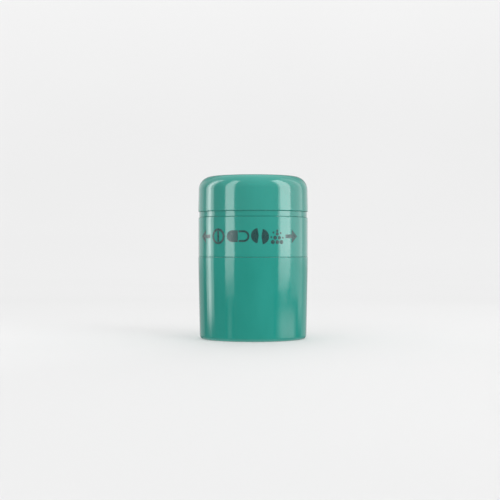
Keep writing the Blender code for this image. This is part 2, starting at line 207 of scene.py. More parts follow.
def lofted(name, sections):
    """A closed solid through a stack of equal-length rings of points, with flat ends."""
    vertices = [point for section in sections for point in section]
    count = len(sections[0])
    if any(len(section) != count for section in sections):
        raise ValueError(f"{name}: its sections differ in length")
    faces = []
    for low in range(0, len(vertices) - count, count):
        high = low + count
        for k in range(count):
            after = (k + 1) % count
            faces.append([low + k, low + after, high + after, high + k])
    faces.append(list(range(count)))
    faces.append(list(range(len(vertices) - count, len(vertices))))
    return face_out(add_mesh(name, vertices, faces))


def cylinder(name, radius, start, end, facets=40):
    """A plain round solid between two heights."""
    return turned(name, [(0, start), (radius, start), (radius, end), (0, end)], facets)


def box(size, centre, angle, corner):
    """A box with rounded upright edges, turned about Z with its centre."""
    x, y, z = (s / 2 for s in size)
    plan = rounded([(-x, -y, corner), (x, -y, corner), (x, y, corner), (-x, y, corner)])
    place = Matrix.Rotation(angle, 4, "Z") @ Matrix.Translation(Vector(centre))
    return lofted("box", [[place @ Vector((px, py, h)) for px, py in plan] for h in (-z, z)])


def ridge(name, wall, crest, middle, turns, phase=0.0):
    """A trapezoidal thread ridge on a wall, rounded at its crest, with faded ends."""
    outward = 1 if crest > wall else -1
    buried, corner = 0.5 * MM, 0.22 * MM
    foot = wall - outward * buried
    root, tip, run_out = 1.5 * MM, 0.9 * MM, math.radians(40)
    steps = round(turns * ROUND)
    off_grid = math.pi / ROUND  # sets the ridge's sections between the wall's own facet edges
    sections = []
    for i in range(steps + 1):
        turn = 2 * math.pi * turns * i / steps
        rise = min(1.0, min(turn, 2 * math.pi * turns - turn) / run_out)
        top = foot + (crest - foot) * (0.3 + 0.7 * math.sin(rise * math.pi / 2))
        section = rounded(
            [(foot, -root), (top, -tip, corner), (top, tip, corner), (foot, root)], pieces=4
        )
        angle = turn + phase + off_grid
        height = middle + LEAD * (turn + off_grid) / (2 * math.pi)
        sections.append([
            Vector((r * math.cos(angle), r * math.sin(angle), height + z)) for r, z in section
        ])
    return lofted(name, sections)


def cut(obj, *tools, operation="DIFFERENCE"):
    """Cuts the tools from obj, and removes them.

    The Booleans work on shapes a thousand times larger, because their tolerances suit metres.
    """
    bpy.context.view_layer.update()
    for shape in (obj, *tools):
        shape.data.transform(Matrix.Scale(1 / MM, 4) @ shape.matrix_world)
        shape.matrix_world = Matrix.Identity(4)
    for tool in tools:
        modifier = obj.modifiers.new(operation, "BOOLEAN")
        modifier.operation = operation
        modifier.solver = "EXACT"
        modifier.object = tool
    bake(obj)
    obj.data.transform(Matrix.Scale(MM, 4))
    for tool in tools:
        bpy.data.objects.remove(tool)
    return obj


def join(obj, *tools):
    """Joins the tools to obj, and removes them."""
    return cut(obj, *tools, operation="UNION")


def bake(obj):
    """Applies all of an object's modifiers."""
    bpy.context.view_layer.update()
    graph = bpy.context.evaluated_depsgraph_get()
    mesh = bpy.data.meshes.new_from_object(obj.evaluated_get(graph))
    obj.modifiers.clear()
    obj.data = mesh
    return obj


def around(count, make):
    """Makes one tool for each of count equal steps round the axis, from its angle."""
    return [make(2 * math.pi * i / count) for i in range(count)]


def at_the_pins(make):
    """Makes a tool at the place of each of the head's two pins."""
    tools = [make(), make()]
    for side, tool in zip((-1, 1), tools):
        tool.location.x = side * PIN_SPREAD
    return tools


def finished(obj, material, body):
    """Smooths a piece, gives it its material, and puts it in its CAD node's place on its body."""
    node = obj.name.split(".")[0]
    obj.name = f"{node}_fine"
    obj.data.materials.clear()
    obj.data.materials.append(material)
    obj.data.shade_smooth()
    obj.data.set_sharp_from_angle(angle=math.radians(38))
    weighted = obj.modifiers.new("even shading", "WEIGHTED_NORMAL")
    weighted.keep_sharp = True
    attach(obj, body)
    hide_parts(node)
    return obj


# ------------------------------------------------------------------ materials


class Recipe:
    """One material's node graph, built up step by step."""

    def __init__(self, name):
        self.material = bpy.data.materials.new(name)
        self.material.use_nodes = True
        self.tree = self.material.node_tree
        self.shader = self.tree.nodes["Principled BSDF"]
        place = self.tree.nodes.new("ShaderNodeTexCoord")
        self.mm = self.add("ShaderNodeVectorMath", operation="SCALE")
        self.tree.links.new(place.outputs["Object"], self.mm.inputs[0])
        self.mm.inputs["Scale"].default_value = 1 / MM
        self.place = self.mm.outputs[0]

    def add(self, kind, **settings):
        """A new node with these settings."""
        node = self.tree.nodes.new(kind)
        for key, value in settings.items():
            setattr(node, key, value)
        return node

    def feed(self, node, **inputs):
        """Sets or links inputs. A key names an input, with _ for a space, or i0, i1 for its place."""
        for key, value in inputs.items():
            numbered = key[0] == "i" and key[1:].isdigit()
            socket = node.inputs[int(key[1:])] if numbered else node.inputs[key.replace("_", " ")]
            if isinstance(value, bpy.types.NodeSocket):
                self.tree.links.new(value, socket)
            else:
                socket.default_value = value
        return node

    def maths(self, operation, a, b=0.0, clamp=False):
        """The result of a maths node on two numbers or sockets."""
        node = self.add("ShaderNodeMath", operation=operation, use_clamp=clamp)
        return self.feed(node, i0=a, i1=b).outputs[0]

    def noise(self, scale, detail=3.0, roughness=0.5, at=None):
        """Smooth noise of 0 to 1, with its scale in waves per millimetre."""
        node = self.add("ShaderNodeTexNoise")
        self.feed(node, Vector=at or self.place, Scale=scale, Detail=detail, Roughness=roughness)
        return node.outputs["Fac"]

    def stretched(self, scale, turn=(0, 0, 0)):
        """The place in millimetres, turned, then scaled by a different amount on each axis."""
        node = self.add("ShaderNodeMapping")
        self.feed(node, Vector=self.place, Rotation=turn, Scale=scale)
        return node.outputs[0]

    def spread(self, value, low, high, to_low=0.0, to_high=1.0):
        """Value from low to high, eased onto the range to_low to to_high."""
        node = self.add("ShaderNodeMapRange", interpolation_type="SMOOTHSTEP")
        self.feed(node, i0=value, i1=low, i2=high, i3=to_low, i4=to_high)
        return node.outputs[0]

    def blend(self, factor, a, b):
        """The colour that is a factor of the way from a to b."""
        node = self.add("ShaderNodeMix", data_type="RGBA")
        self.feed(node, i0=factor, i6=a, i7=b)
        return node.outputs[2]

    def bump(self, height, depth, normal=None):
        """Bump from a height of 0 to 1 that is worth a depth in metres."""
        node = self.add("ShaderNodeBump")
        self.feed(node, Height=height, Distance=depth, Strength=1.0)
        if normal:
            self.feed(node, Normal=normal)
        return node.outputs[0]

    def edges(self, radius):
        """1 on convex and concave edges tighter than a radius, 0 on open faces."""
        soft = self.feed(self.add("ShaderNodeBevel", samples=4), Radius=radius)
        geometry = self.add("ShaderNodeNewGeometry")
        dot = self.add("ShaderNodeVectorMath", operation="DOT_PRODUCT")
        self.feed(dot, i0=soft.outputs[0], i1=geometry.outputs["Normal"])
        return self.spread(dot.outputs["Value"], 0.995, 0.93)

    def scratches(self, seed):
        """Fine hairlines in a few directions, as a mask of 0 to 1."""
        dice = random.Random(seed)
        total = None
        for _ in range(4):
            turn = tuple(dice.uniform(0, math.pi) for _ in range(3))
            lines = self.noise(1.0, detail=2, at=self.stretched((9.0, 0.35, 9.0), turn))
            patch = self.noise(0.12, detail=1, at=self.stretched((1, 1, 1), turn))
            thin = self.spread(lines, 0.70, 0.76)
            here = self.spread(patch, 0.5, 0.62)
            one = self.maths("MULTIPLY", thin, here)
            total = one if total is None else self.maths("MAXIMUM", total, one)
        return total

    def finish(self, **inputs):
        """Feeds the material's shader."""
        self.feed(self.shader, **inputs)
        return self.material


def moulded(name, colour, pale, shine, seed, glow=0.0, clean=False):
    """Injection-moulded plastic: faint flow in its colour, a moulded skin, smears and hairlines."""
    recipe = Recipe(name)
    flow = recipe.noise(0.06, detail=3, at=recipe.stretched((1.0, 1.0, 0.35)))
    tone = recipe.blend(recipe.spread(flow, 0.3, 0.7), (*colour, 1), (*pale, 1))
    speckle = recipe.spread(recipe.noise(1.3, detail=2), 0.35, 0.75, 0.0, 0.10)
    tone = recipe.blend(speckle, tone, (*pale, 1))
    worn = recipe.maths(
        "MULTIPLY", recipe.edges(0.22 * MM), recipe.spread(recipe.noise(0.8, 4), 0.45, 0.65)
    )
    scuffed = tuple(0.75 * c + 0.16 for c in colour)
    tone = recipe.blend(recipe.maths("MULTIPLY", worn, 0.16), tone, (*scuffed, 1))
    lines = recipe.scratches(seed)
    tone = recipe.blend(recipe.maths("MULTIPLY", lines, 0.05 if clean else 0.12), tone, (*scuffed, 1))
    smears = recipe.spread(recipe.noise(0.14, detail=4, roughness=0.6), 0.35, 0.7, 0.0, 0.05)
    dull = recipe.maths("ADD", smears, shine)
    dull = recipe.maths("ADD", dull, recipe.maths("MULTIPLY", lines, 0.22))
    dull = recipe.maths("ADD", dull, recipe.maths("MULTIPLY", worn, 0.12), clamp=True)
    skin = recipe.bump(recipe.noise(3.2, detail=2), 0.0025 * MM)
    waves = recipe.bump(recipe.noise(0.09, detail=1), 0.05 * MM, skin)
    scored = recipe.bump(recipe.maths("SUBTRACT", 1.0, lines), 0.004 * MM, waves)
    return recipe.finish(
        Base_Color=tone,
        Roughness=dull,
        Normal=scored,
        IOR=1.49,
        Subsurface_Weight=glow,
        Subsurface_Radius=(0.6, 1.2, 1.0),
        Subsurface_Scale=1.0 * MM,
    )


def silicone(name):
    """Translucent silicone: mottled, with a fine matt skin and some dust."""
    recipe = Recipe(name)
    mottle = recipe.noise(0.9, detail=3)
    tone = recipe.blend(mottle, (0.44, 0.46, 0.44, 1), (0.51, 0.53, 0.51, 1))
    skin = recipe.bump(recipe.noise(6.0, detail=3), 0.012 * MM)
    dust = recipe.spread(recipe.noise(2.5, detail=5), 0.4, 0.8, 0.5, 0.68)
    return recipe.finish(
        Base_Color=tone, Roughness=dust, Normal=skin, IOR=1.41,
        Subsurface_Weight=0.35, Subsurface_Radius=(1.0, 1.0, 0.9), Subsurface_Scale=0.8 * MM,
    )


def liner_foam(name):
    """Closed-cell liner: a matt white sheet with fine cells and a faint pressed grain."""
    recipe = Recipe(name)
    cells = recipe.add("ShaderNodeTexVoronoi")
    recipe.feed(cells, Vector=recipe.place, Scale=5.5, Randomness=1.0)
    tone = recipe.blend(
        recipe.noise(0.3, detail=3), (0.80, 0.80, 0.77, 1), (0.87, 0.87, 0.85, 1)
    )
    pits = recipe.bump(cells.outputs["Distance"], 0.04 * MM)
    grain = recipe.bump(recipe.noise(0.7, detail=4), 0.05 * MM, pits)
    dull = recipe.spread(cells.outputs["Distance"], 0.0, 0.6, 0.72, 0.55)
    return recipe.finish(Base_Color=tone, Roughness=dull, Normal=grain, Subsurface_Weight=0.1,
                         Subsurface_Scale=0.5 * MM)


def turned_steel(name):
    """Plated screw steel with fine rings left by the lathe."""
    recipe = Recipe(name)
    split = recipe.add("ShaderNodeSeparateXYZ")
    recipe.feed(split, Vector=recipe.place)
    square = recipe.maths("ADD", recipe.maths("POWER", split.outputs[0], 2.0),
                          recipe.maths("POWER", split.outputs[1], 2.0))
    radius = recipe.add("ShaderNodeCombineXYZ")
    recipe.feed(radius, X=recipe.maths("SQRT", square), Y=0.0, Z=split.outputs[2])
    rings = recipe.noise(14.0, detail=3, at=radius.outputs[0])
    stain = recipe.spread(recipe.noise(1.1, detail=4), 0.45, 0.7)
    tone = recipe.blend(stain, (0.66, 0.66, 0.64, 1), (0.50, 0.49, 0.46, 1))
    dull = recipe.spread(rings, 0.3, 0.7, 0.2, 0.36)
    return recipe.finish(Base_Color=tone, Metallic=1.0, Roughness=dull,
                         Normal=recipe.bump(rings, 0.01 * MM))


def printed_ink(name):
    """Pad-printed ink: dark green, a little thin in places, with the shine of the plastic."""
    recipe = Recipe(name)
    thin = recipe.spread(recipe.noise(1.6, detail=5, roughness=0.65), 0.55, 0.8)
    fleck = recipe.spread(recipe.noise(9.0, detail=2), 0.66, 0.74)
    bare = recipe.maths("MAXIMUM", recipe.maths("MULTIPLY", thin, 0.25), fleck)
    tone = recipe.blend(bare, (0.006, 0.048, 0.046, 1), (0.016, 0.15, 0.125, 1))
    dull = recipe.spread(recipe.noise(0.9, detail=3), 0.3, 0.7, 0.24, 0.36)
    return recipe.finish(Base_Color=tone, Roughness=dull, IOR=1.49,
                         Normal=recipe.bump(recipe.noise(7.0, detail=2), 0.003 * MM))


GREEN = moulded(
    "green_gloss_plastic", (0.012, 0.241, 0.194), (0.018, 0.276, 0.227), 0.08, seed=3, glow=0.04
)
NATURAL = moulded(
    "natural_plastic", (0.62, 0.60, 0.52), (0.69, 0.67, 0.59), 0.27, seed=8, glow=0.12, clean=True
)
HARD = moulded(
    "hard_plastic", (0.54, 0.52, 0.45), (0.60, 0.58, 0.51), 0.32, seed=12, glow=0.06
)
SILICONE = silicone("silicone_ring")
LINER = liner_foam("liner_foam")
STEEL = turned_steel("screw_steel")
INK = printed_ink("print_ink")


# ------------------------------------------------------------------ the base


def make_base_shell():
    """Outer cup of the base, with a standing ring, a moulding gate mark and ejector marks."""
    foot, mouth = BODY - DRAFT, BODY - WALL
    seam = BASE_HIGH.z + SNUG
    ledge, ledge_z = mouth - 1.0 * MM, seam - 2.7 * MM
    ledge_thick, ledge_slope = 2.2 * MM, 1.4 * MM
    recess, floor = 0.8 * MM, 2.4 * MM
    ring, ring_slope = 18.6 * MM, 0.6 * MM
    shell = turned("base_shell", rounded([
        (0, recess),
        (ring - ring_slope, recess, BLUNT),
        (ring, 0, BLUNT),
        (foot, 0, FOOT_CORNER),
        (BODY, seam, EDGE),
        (mouth, seam, EDGE),
        (mouth, ledge_z),
        (ledge, ledge_z, FINE),
        (ledge, ledge_z - ledge_thick, FINE),
        (mouth - 0.2 * MM, ledge_z - ledge_thick - ledge_slope, SOFT),
        (foot - WALL, floor, 2.5 * MM),
        (0, floor),
    ]))
    join(shell, *around(KEYS, lambda angle: box(
        (1.2 * MM, KEY_WIDTH, 2.6 * MM), (mouth - 0.1 * MM, 0, ledge_z + 1.0 * MM), angle, TIGHT
    )))

    def ejector_mark(angle):
        spread, radius, depth = 12 * MM, 2 * MM, 0.12 * MM
        mark = cylinder("ejector", radius, recess + depth, recess - MM, facets=48)
        mark.location = Matrix.Rotation(angle + math.radians(30), 3, "Z") @ Vector((spread, 0, 0))
        return mark

    cut(shell, *around(3, ejector_mark))
    stub, tip, drop, buried = 1.3 * MM, 0.9 * MM, 0.3 * MM, 0.5 * MM
    gate_mark = turned("gate", rounded([
        (0, recess + buried),
        (stub, recess + buried),
        (tip, recess - drop - 0.05 * MM, FINE),
        (0, recess - drop),
    ]), facets=48)
    join(shell, gate_mark)
    return finished(shell, GREEN, "base")


def make_crush_cup():
    """Inner cup: the tablet's bowl, the nut thread above it, and a keyed flange at the rim."""
    rim, flange, flange_thick = CUP_HIGH.z, CUP_HIGH.y, 2.2 * MM
    floor, floor_thick = 6.2 * MM, 2.6 * MM
    skirt, skirt_wall = BOWL + 2.0 * MM, 1.8 * MM
    outer = NUT_BORE + 1.6 * MM
    skirt_top, nut_wall_foot = 16.5 * MM, 20.0 * MM
    lead_in = 0.5 * MM
    cup = turned("crush_cup", rounded([
        (NUT_BORE + lead_in, rim, FINE),
        (flange, rim, FINE),
        (flange, rim - flange_thick, FINE),
        (outer, rim - flange_thick, FINE),
        (outer, nut_wall_foot, SOFT),
        (skirt, skirt_top, SOFT),
        (skirt, CUP_LOW.z, FINE),
        (skirt - skirt_wall, CUP_LOW.z, FINE),
        (skirt - skirt_wall, floor - floor_thick, FINE),
        (0, floor - floor_thick),
        (0, floor),
        (BOWL, floor, FINE),
        (BOWL, BOWL_TOP, 0.8 * MM),
        (NUT_BORE, NUT_FOOT, 0.8 * MM),
        (NUT_BORE, rim - lead_in, FINE),
    ]))
    join(cup, ridge("nut_ridge", NUT_BORE, NUT_CREST, THREAD_Z, NUT_TURNS, phase=math.pi))
    cut(cup, *around(KEYS, lambda angle: box(
        (1.6 * MM, KEY_WIDTH + 2 * GAP, 4 * MM), (flange, 0, rim - 1 * MM), angle, 0.25 * MM
    )))
    join(cup, *around(2, lambda angle: box(
        (1.2 * MM, ANVIL_KEY, 2.4 * MM), (BOWL, 0, floor + 0.6 * MM), angle, TIGHT
    )))
    return finished(cup, NATURAL, "base")


def toothed_disc(name, radius, plain, root, tip):
    """A disc with one plain face and radial crushing teeth on the other."""
    inner, outer, chamfer, steps = 2.5 * MM, radius - 0.8 * MM, 0.2 * MM, 6
    count = 2 * TEETH * steps
    rings = [  # (radius, share of the teeth's full height)
        (1.2 * MM, 0.0),
        (inner, 0.0),
        (inner + 1.2 * MM, 1.0),
        (outer - 0.3 * MM, 1.0),
        (outer + 0.15 * MM, 0.0),
        (radius - chamfer, 0.0),
    ]
    round_off = math.copysign(chamfer, plain - root)
    angles = [2 * math.pi * (k - steps / 2) / count for k in range(count)]

    def tooth(k):
        """Height of a rounded ridge at a step round the disc: 0 in a valley, 1 on a crest."""
        across = abs((k / steps) % 2 - 1)
        return min(1.0, max(0.0, 1.16 * (1 - across) - 0.02))

    def ring(r, heights):
        return [Vector((r * math.cos(a), r * math.sin(a), z)) for a, z in zip(angles, heights)]

    sections = [
        ring(r, [root + (tip - root) * share * tooth(k) for k in range(count)])
        for r, share in rings
    ]
    for r, z in ((radius, root + round_off), (radius, plain - round_off), (radius - chamfer, plain)):
        sections.append(ring(r, [z] * count))
    return lofted(name, sections)


def make_anvil_plate():
    """Ridged plate on the bowl's floor, with two slots for the cup's keys."""
    plate = toothed_disc(
        "anvil_plate", ANVIL_HIGH.y, ANVIL_LOW.z, ANVIL_HIGH.z - TOOTH_HEIGHT, ANVIL_HIGH.z
    )
    slot = ANVIL_KEY + 2 * GAP
    cut(plate, *around(2, lambda angle: box(
        (slot, slot, 8 * MM), (BOWL, 0, ANVIL_LOW.z), angle, BLUNT
    )))
    return finished(plate, HARD, "base")


# ------------------------------------------------------------------ the crusher


def make_ram_seal():
    """Round silicone ring that wipes the bowl."""
    middle = (SEAL_LOW.z + SEAL_HIGH.z) / 2
    thick = (SEAL_HIGH.z - SEAL_LOW.z) / 2
    outline = sweep((SEAL_HIGH.x - thick, middle), thick, 0, 360, steps=28)[:-1]
    return finished(turned("ram_seal", outline), SILICONE, "seal")


def make_screw_ram():
    """Hollow threaded plunger with a keyed flange, the seal's groove and holes for the head."""
    deck, deck_z = RAM_HIGH.y, RAM_HIGH.z - 2.2 * MM
    bore, nose, nose_bore = 14.2 * MM, 13.1 * MM, 10.2 * MM
    end = RAM_LOW.z
    floor = end + END_WALL
    seal = (SEAL_LOW.z + SEAL_HIGH.z) / 2
    half_groove, groove_floor = 1.1 * MM, nose - 1.4 * MM
    nose_top, core_foot = 20.3 * MM, 22.3 * MM
    nose_bore_top, bore_foot = 20.4 * MM, 23.2 * MM
    slope = 0.6 * MM  # rounding where the nose widens into the thread
    ram = turned("screw_ram", rounded([
        (bore, RAM_HIGH.z, SOFT),
        (deck, RAM_HIGH.z, FINE),
        (deck, deck_z, FINE),
        (RAM_CORE, deck_z, 0.4 * MM),
        (RAM_CORE, core_foot, slope),
        (nose, nose_top, slope),
        (nose, seal + half_groove, FINE),
        (groove_floor, seal + half_groove, FINE),
        (groove_floor, seal - half_groove, FINE),
        (nose, seal - half_groove, FINE),
        (nose, end, FINE),
        (CLEAR_HOLE, end, FINE),
        (CLEAR_HOLE, floor, FINE),
        (nose_bore, floor, SOFT),
        (nose_bore, nose_bore_top, slope),
        (bore, bore_foot, slope),
    ]))
    join(ram, ridge("ram_ridge", RAM_CORE, RAM_CREST, THREAD_Z, RAM_TURNS))
    notches = around(KEYS, lambda angle: box(
        (2.0 * MM, KEY_WIDTH + 2 * GAP, 4 * MM), (deck, 0, deck_z + 1.1 * MM), angle, 0.25 * MM
    ))
    holes = at_the_pins(lambda: cylinder("hole", CLEAR_HOLE, end - MM, floor + MM))
    cut(ram, *notches, *holes)
    return finished(ram, NATURAL, "crusher")


def make_crushing_head():
    """Hard toothed puck under the ram, driven by two pins."""
    top = RAM_LOW.z - GAP
    head = toothed_disc(
        "crushing_head", HEAD_HIGH.y, top, HEAD_LOW.z + TOOTH_HEIGHT, HEAD_LOW.z
    )
    pin = rounded([
        (0, top - MM), (SHANK, top - MM), (SHANK, HEAD_HIGH.z, BLUNT), (0, HEAD_HIGH.z)
    ])
    join(head, *at_the_pins(lambda: turned("pin", pin, facets=40)))
    cut(head, cylinder("hole", CLEAR_HOLE, SCREW_LOW.z - GAP, top + MM))
    return finished(head, HARD, "crusher")


def make_head_screw():
    """Pan-head screw with a cross recess and thread rings on its shank."""
    low, top = SCREW_LOW.z, SCREW_HIGH.z
    seat = RAM_LOW.z + END_WALL + GAP
    pan, crown = 2.9 * MM, 2.0 * MM
    pitch, depth, point = 0.5 * MM, 0.25 * MM, 0.8 * MM
    corners = [(0, low), (0.9 * MM, low, FINE), (SHANK - depth, low + point)]
    for i in range(int((seat - low - 1.2 * MM) / pitch)):
        foot = low + point + pitch * i
        corners += [(SHANK, foot + pitch / 2), (SHANK - depth, foot + pitch)]
    corners += [(SHANK, seat), (pan, seat, FINE), (pan, top - 0.9 * MM, 0.4 * MM)]
    corners += [(crown, top - 0.15 * MM, 0.6 * MM), (0, top)]
    screw = turned("head_screw", rounded(corners), facets=64)
    cut(screw, *[
        box((3.4 * MM, 0.7 * MM, 1.8 * MM), (0, 0, top - 0.1 * MM), angle, 0.1 * MM)
        for angle in (0, math.pi / 2)
    ])
    return finished(screw, STEEL, "crusher")


def make_crusher_sleeve():
    """Outer sleeve that the hand turns, with the ledge and lugs that hold the ram."""
    outer = SLEEVE_HIGH.x
    bore, ledge = outer - WALL, 20.0 * MM
    low, high = SLEEVE_LOW.z - SNUG, SLEEVE_HIGH.z + SNUG
    ledge_z = RAM_HIGH.z + GAP
    sleeve = turned("crusher_sleeve", rounded([
        (bore, low, EDGE),
        (outer, low, EDGE),
        (outer, high, EDGE),
        (bore, high, EDGE),
        (bore, ledge_z + 2.4 * MM, FINE),
        (ledge, ledge_z + 1.6 * MM, FINE),
        (ledge, ledge_z, FINE),
        (bore, ledge_z),
    ]))
    join(sleeve, *around(KEYS, lambda angle: box(
        (1.3 * MM, KEY_WIDTH, 2.3 * MM), (ledge + 0.75 * MM, 0, ledge_z - 0.95 * MM), angle, TIGHT
    )))
    return finished(sleeve, GREEN, "crusher")


def well_plan(radius, corner, inset, quarter, side):
    """Outline of a half-round or quarter-round compartment, shrunk by an inset, as (x, y)."""
    wall = HALF_DIVIDER + inset
    reach = radius - inset
    fillet = max(corner - inset, 0.25 * MM)
    near = wall + fillet
    far = math.sqrt((reach - fillet) ** 2 - near**2)
    slope = math.degrees(math.atan2(near, far))
    if not quarter:
        points = sweep((far, near), fillet, -90, slope)
        points += sweep((0, 0), reach, slope, 180 - slope, 64)[1:-1]
        return points + sweep((-far, near), fillet, 180 - slope, 270)
    points = sweep((near, -near), fillet, 90, 180)
    points += sweep((near, -far), fillet, 180, 270 + slope)
    points += sweep((0, 0), reach, 270 + slope, 360 - slope, 32)[1:-1]
    points += sweep((far, -near), fillet, 360 - slope, 450)
    return [(side * x, y) for x, y in points]


def make_compartment_tray():
    """Tray with a band for a flange and three rounded wells: one large and two small."""
    neck, low_wall, flange = 20.5 * MM, 19.6 * MM, TRAY_HIGH.x
    flange_z, flange_top = SLEEVE_HIGH.z + GAP - SNUG, LID_LOW.z - GAP + LID_SNUG
    bead, bead_z = 0.25 * MM, 56.6 * MM
    top = TRAY_HIGH.z
    plate = top - 0.4 * MM
    well, floor = 18.6 * MM, 38.4 * MM
    low_wall_top, neck_foot = 46.4 * MM, 47.3 * MM
    tray = turned("compartment_tray", rounded([
        (0, TRAY_LOW.z),
        (low_wall, TRAY_LOW.z, 0.8 * MM),
        (low_wall, low_wall_top, SOFT),
        (neck, neck_foot, SOFT),
        (neck, flange_z, TIGHT),
        (flange, flange_z, EDGE),
        (flange, flange_top, BAND_EDGE),
        (neck, flange_top, TIGHT),
        (neck, bead_z - 2 * bead, FINE),
        (neck + bead, bead_z - 0.6 * bead, FINE),
        (neck + bead, bead_z + 0.6 * bead, FINE),
        (neck, bead_z + 2 * bead, FINE),
        (neck, top, 0.4 * MM),
        (well + 0.9 * MM, top, BLUNT),
        (well + 0.7 * MM, plate, 0.1 * MM),
        (0, plate),
    ]))
    fillet, lip, corner = 1.5 * MM, 0.35 * MM, 2.2 * MM
    insets = []  # (inset, height) up a well's wall, from its rounded floor to its rounded lip
    for k in range(7):
        a = math.pi / 2 * k / 6
        insets.append((fillet * (1 - math.sin(a)), floor + fillet * (1 - math.cos(a))))
    for k in range(5):
        a = math.pi / 2 * k / 4
        insets.append((-lip * (1 - math.cos(a)), plate - lip + lip * math.sin(a)))
    insets.append((-lip, plate + 2 * MM))
    for quarter, side in ((False, 1), (True, 1), (True, -1)):
        sections = [
            [Vector((x, y, height)) for x, y in well_plan(well, corner, inset, quarter, side)]
            for inset, height in insets
        ]
        cut(tray, lofted("well", sections))
    return finished(tray, GREEN, "crusher")


# ------------------------------------------------------------------ the lid


def make_lid_shell():
    """Push-on lid with a rounded top edge and the bead that clicks past the tray's."""
    low, top = LID_LOW.z - LID_SNUG, LID_HIGH.z
    bore, thick = 21.05 * MM, WALL + 0.1 * MM
    flat = BODY - LID_DRAFT - LID_CORNER
    crown = [(flat * k / 6, top - LID_CROWN * (k / 6) ** 2) for k in reversed(range(6))]
    bead, bead_z, bead_crest, bead_root = 0.13 * MM, 55.2 * MM, 0.25 * MM, 0.6 * MM
    lid = turned("lid_shell", rounded([
        (0, top - thick),
        (bore, top - thick, LID_CORNER - thick),
        (bore, bead_z + bead_root, FINE),
        (bore - bead, bead_z + bead_crest, FINE),
        (bore - bead, bead_z - bead_crest, FINE),
        (bore, bead_z - bead_root, FINE),
        (bore, low, EDGE),
        (BODY, low, LID_EDGE),
        (BODY - LID_DRAFT, top - LID_CROWN, LID_CORNER),
        *crown,
    ], step=math.radians(6)))
    return finished(lid, GREEN, "lid")


def make_lid_liner():
    """Soft disc in the lid, with a shallow ring pressed in by the tray's rim."""
    low, high, edge = LINER_LOW.z, LINER_HIGH.z, LINER_HIGH.x
    pressed, sharp = 0.12 * MM, 0.1 * MM
    liner = turned("lid_liner", rounded([
        (0, low),
        (edge - 1.2 * MM, low, TIGHT),
        (edge - 1.0 * MM, low + pressed, sharp),
        (edge - 0.3 * MM, low + pressed, sharp),
        (edge - 0.1 * MM, low, sharp),
        (edge, low, sharp),
        (edge, low + 1.4 * MM, 0.4 * MM),
        (edge - 1.2 * MM, high, 0.4 * MM),
        (0, high),
    ]))
    return finished(liner, LINER, "lid")


# ------------------------------------------------------------------ the print


class Print:
    """Flat marks in (across, up) millimetres that are wrapped on the sleeve as a thin ink layer."""

    def __init__(self, radius, middle, turn):
        self.radius, self.middle, self.turn = radius, middle, turn
        self.points, self.faces = [], []

    def patch(self, rows, closed=False):
        """A strip of ink through rows of equal length."""
        start, width = len(self.points), len(rows[0])
        for row in rows:
            self.points += row
        pairs = width if closed else width - 1
        for i in range(len(rows) - 1):
            for k in range(pairs):
                a = start + i * width + k
                b = start + i * width + (k + 1) % width
                self.faces.append([a, b, b + width, a + width])

    def disc(self, x, y, radius, start=0.0, end=360.0):
        """A filled disc, or a filled slice of one between two angles."""
        rings = max(2, math.ceil(radius / 0.6))
        steps = max(14, math.ceil(radius * 9))
        whole = abs(end - start) >= 360
        count = steps if whole else steps + 1
        rows = []
        for i in range(rings + 1):
            r = radius * max(i / rings, 0.02)
            angles = [math.radians(start + (end - start) * k / steps) for k in range(count)]
            rows.append([(x + r * math.cos(a), y + r * math.sin(a)) for a in angles])
        self.patch(rows, closed=whole)

    def line(self, path, width, closed=False):
        """A stroke of even width along a path of points."""
        count = len(path)
        sides = []
        for i, here in enumerate(path):
            before = path[i - 1] if i or closed else path[0]
            after = path[(i + 1) % count] if i + 1 < count or closed else path[-1]
            along = (Vector(after) - Vector(before)).normalized()
            across = Vector((-along.y, along.x)) * (width / 2)
            sides.append([tuple(Vector(here) - across), tuple(Vector(here) + across)])
        self.patch(sides + sides[:1] if closed else sides)

    def ring(self, x, y, radius, width):
        """A circular stroke."""
        self.line(sweep((x, y), radius, 0, 360, 40)[:-1], width, closed=True)

    def wedge(self, x, y, length, half_height):
        """A filled arrow head whose tip is length away from its foot, either way along."""
        rows = []
        for i in range(7):
            share = i / 6
            half = half_height * max(1 - share, 0.03)
            rows.append([(x + length * share, y - half), (x + length * share, y + half)])
        self.patch(rows)

    def wrapped(self, name, thickness, buried):
        """The marks as one closed piece, a little proud of the surface they are printed on."""
        vertices = []
        for layer in (self.radius + thickness, self.radius - buried):
            for x, y in self.points:
                angle = self.turn + x * MM / self.radius
                vertices.append((
                    layer * math.sin(angle), -layer * math.cos(angle), self.middle + y * MM
                ))
        count = len(self.points)
        faces = self.faces + [[v + count for v in reversed(face)] for face in self.faces]
        edges = dict.fromkeys(
            (a, b) for face in self.faces for a, b in zip(face, face[1:] + face[:1])
        )
        faces += [[b, a, a + count, b + count] for a, b in edges if (b, a) not in edges]
        return add_mesh(name, vertices, faces)


def draw_arrow(art, side):
    """An arrow that points away from the other marks, on one side of them."""
    tail, foot = side * 16.9, side * 20.2
    art.line([(tail + (foot - tail) * k / 5, 0.0) for k in range(6)], 1.5)
    art.wedge(foot, 0.0, side * 3.3, 2.8)


def draw_tablet(art, x):
    """A scored tablet."""
    art.ring(x, 0.0, 2.75, 0.95)
    art.line([(x, -2.1 + 0.7 * k) for k in range(7)], 0.9)


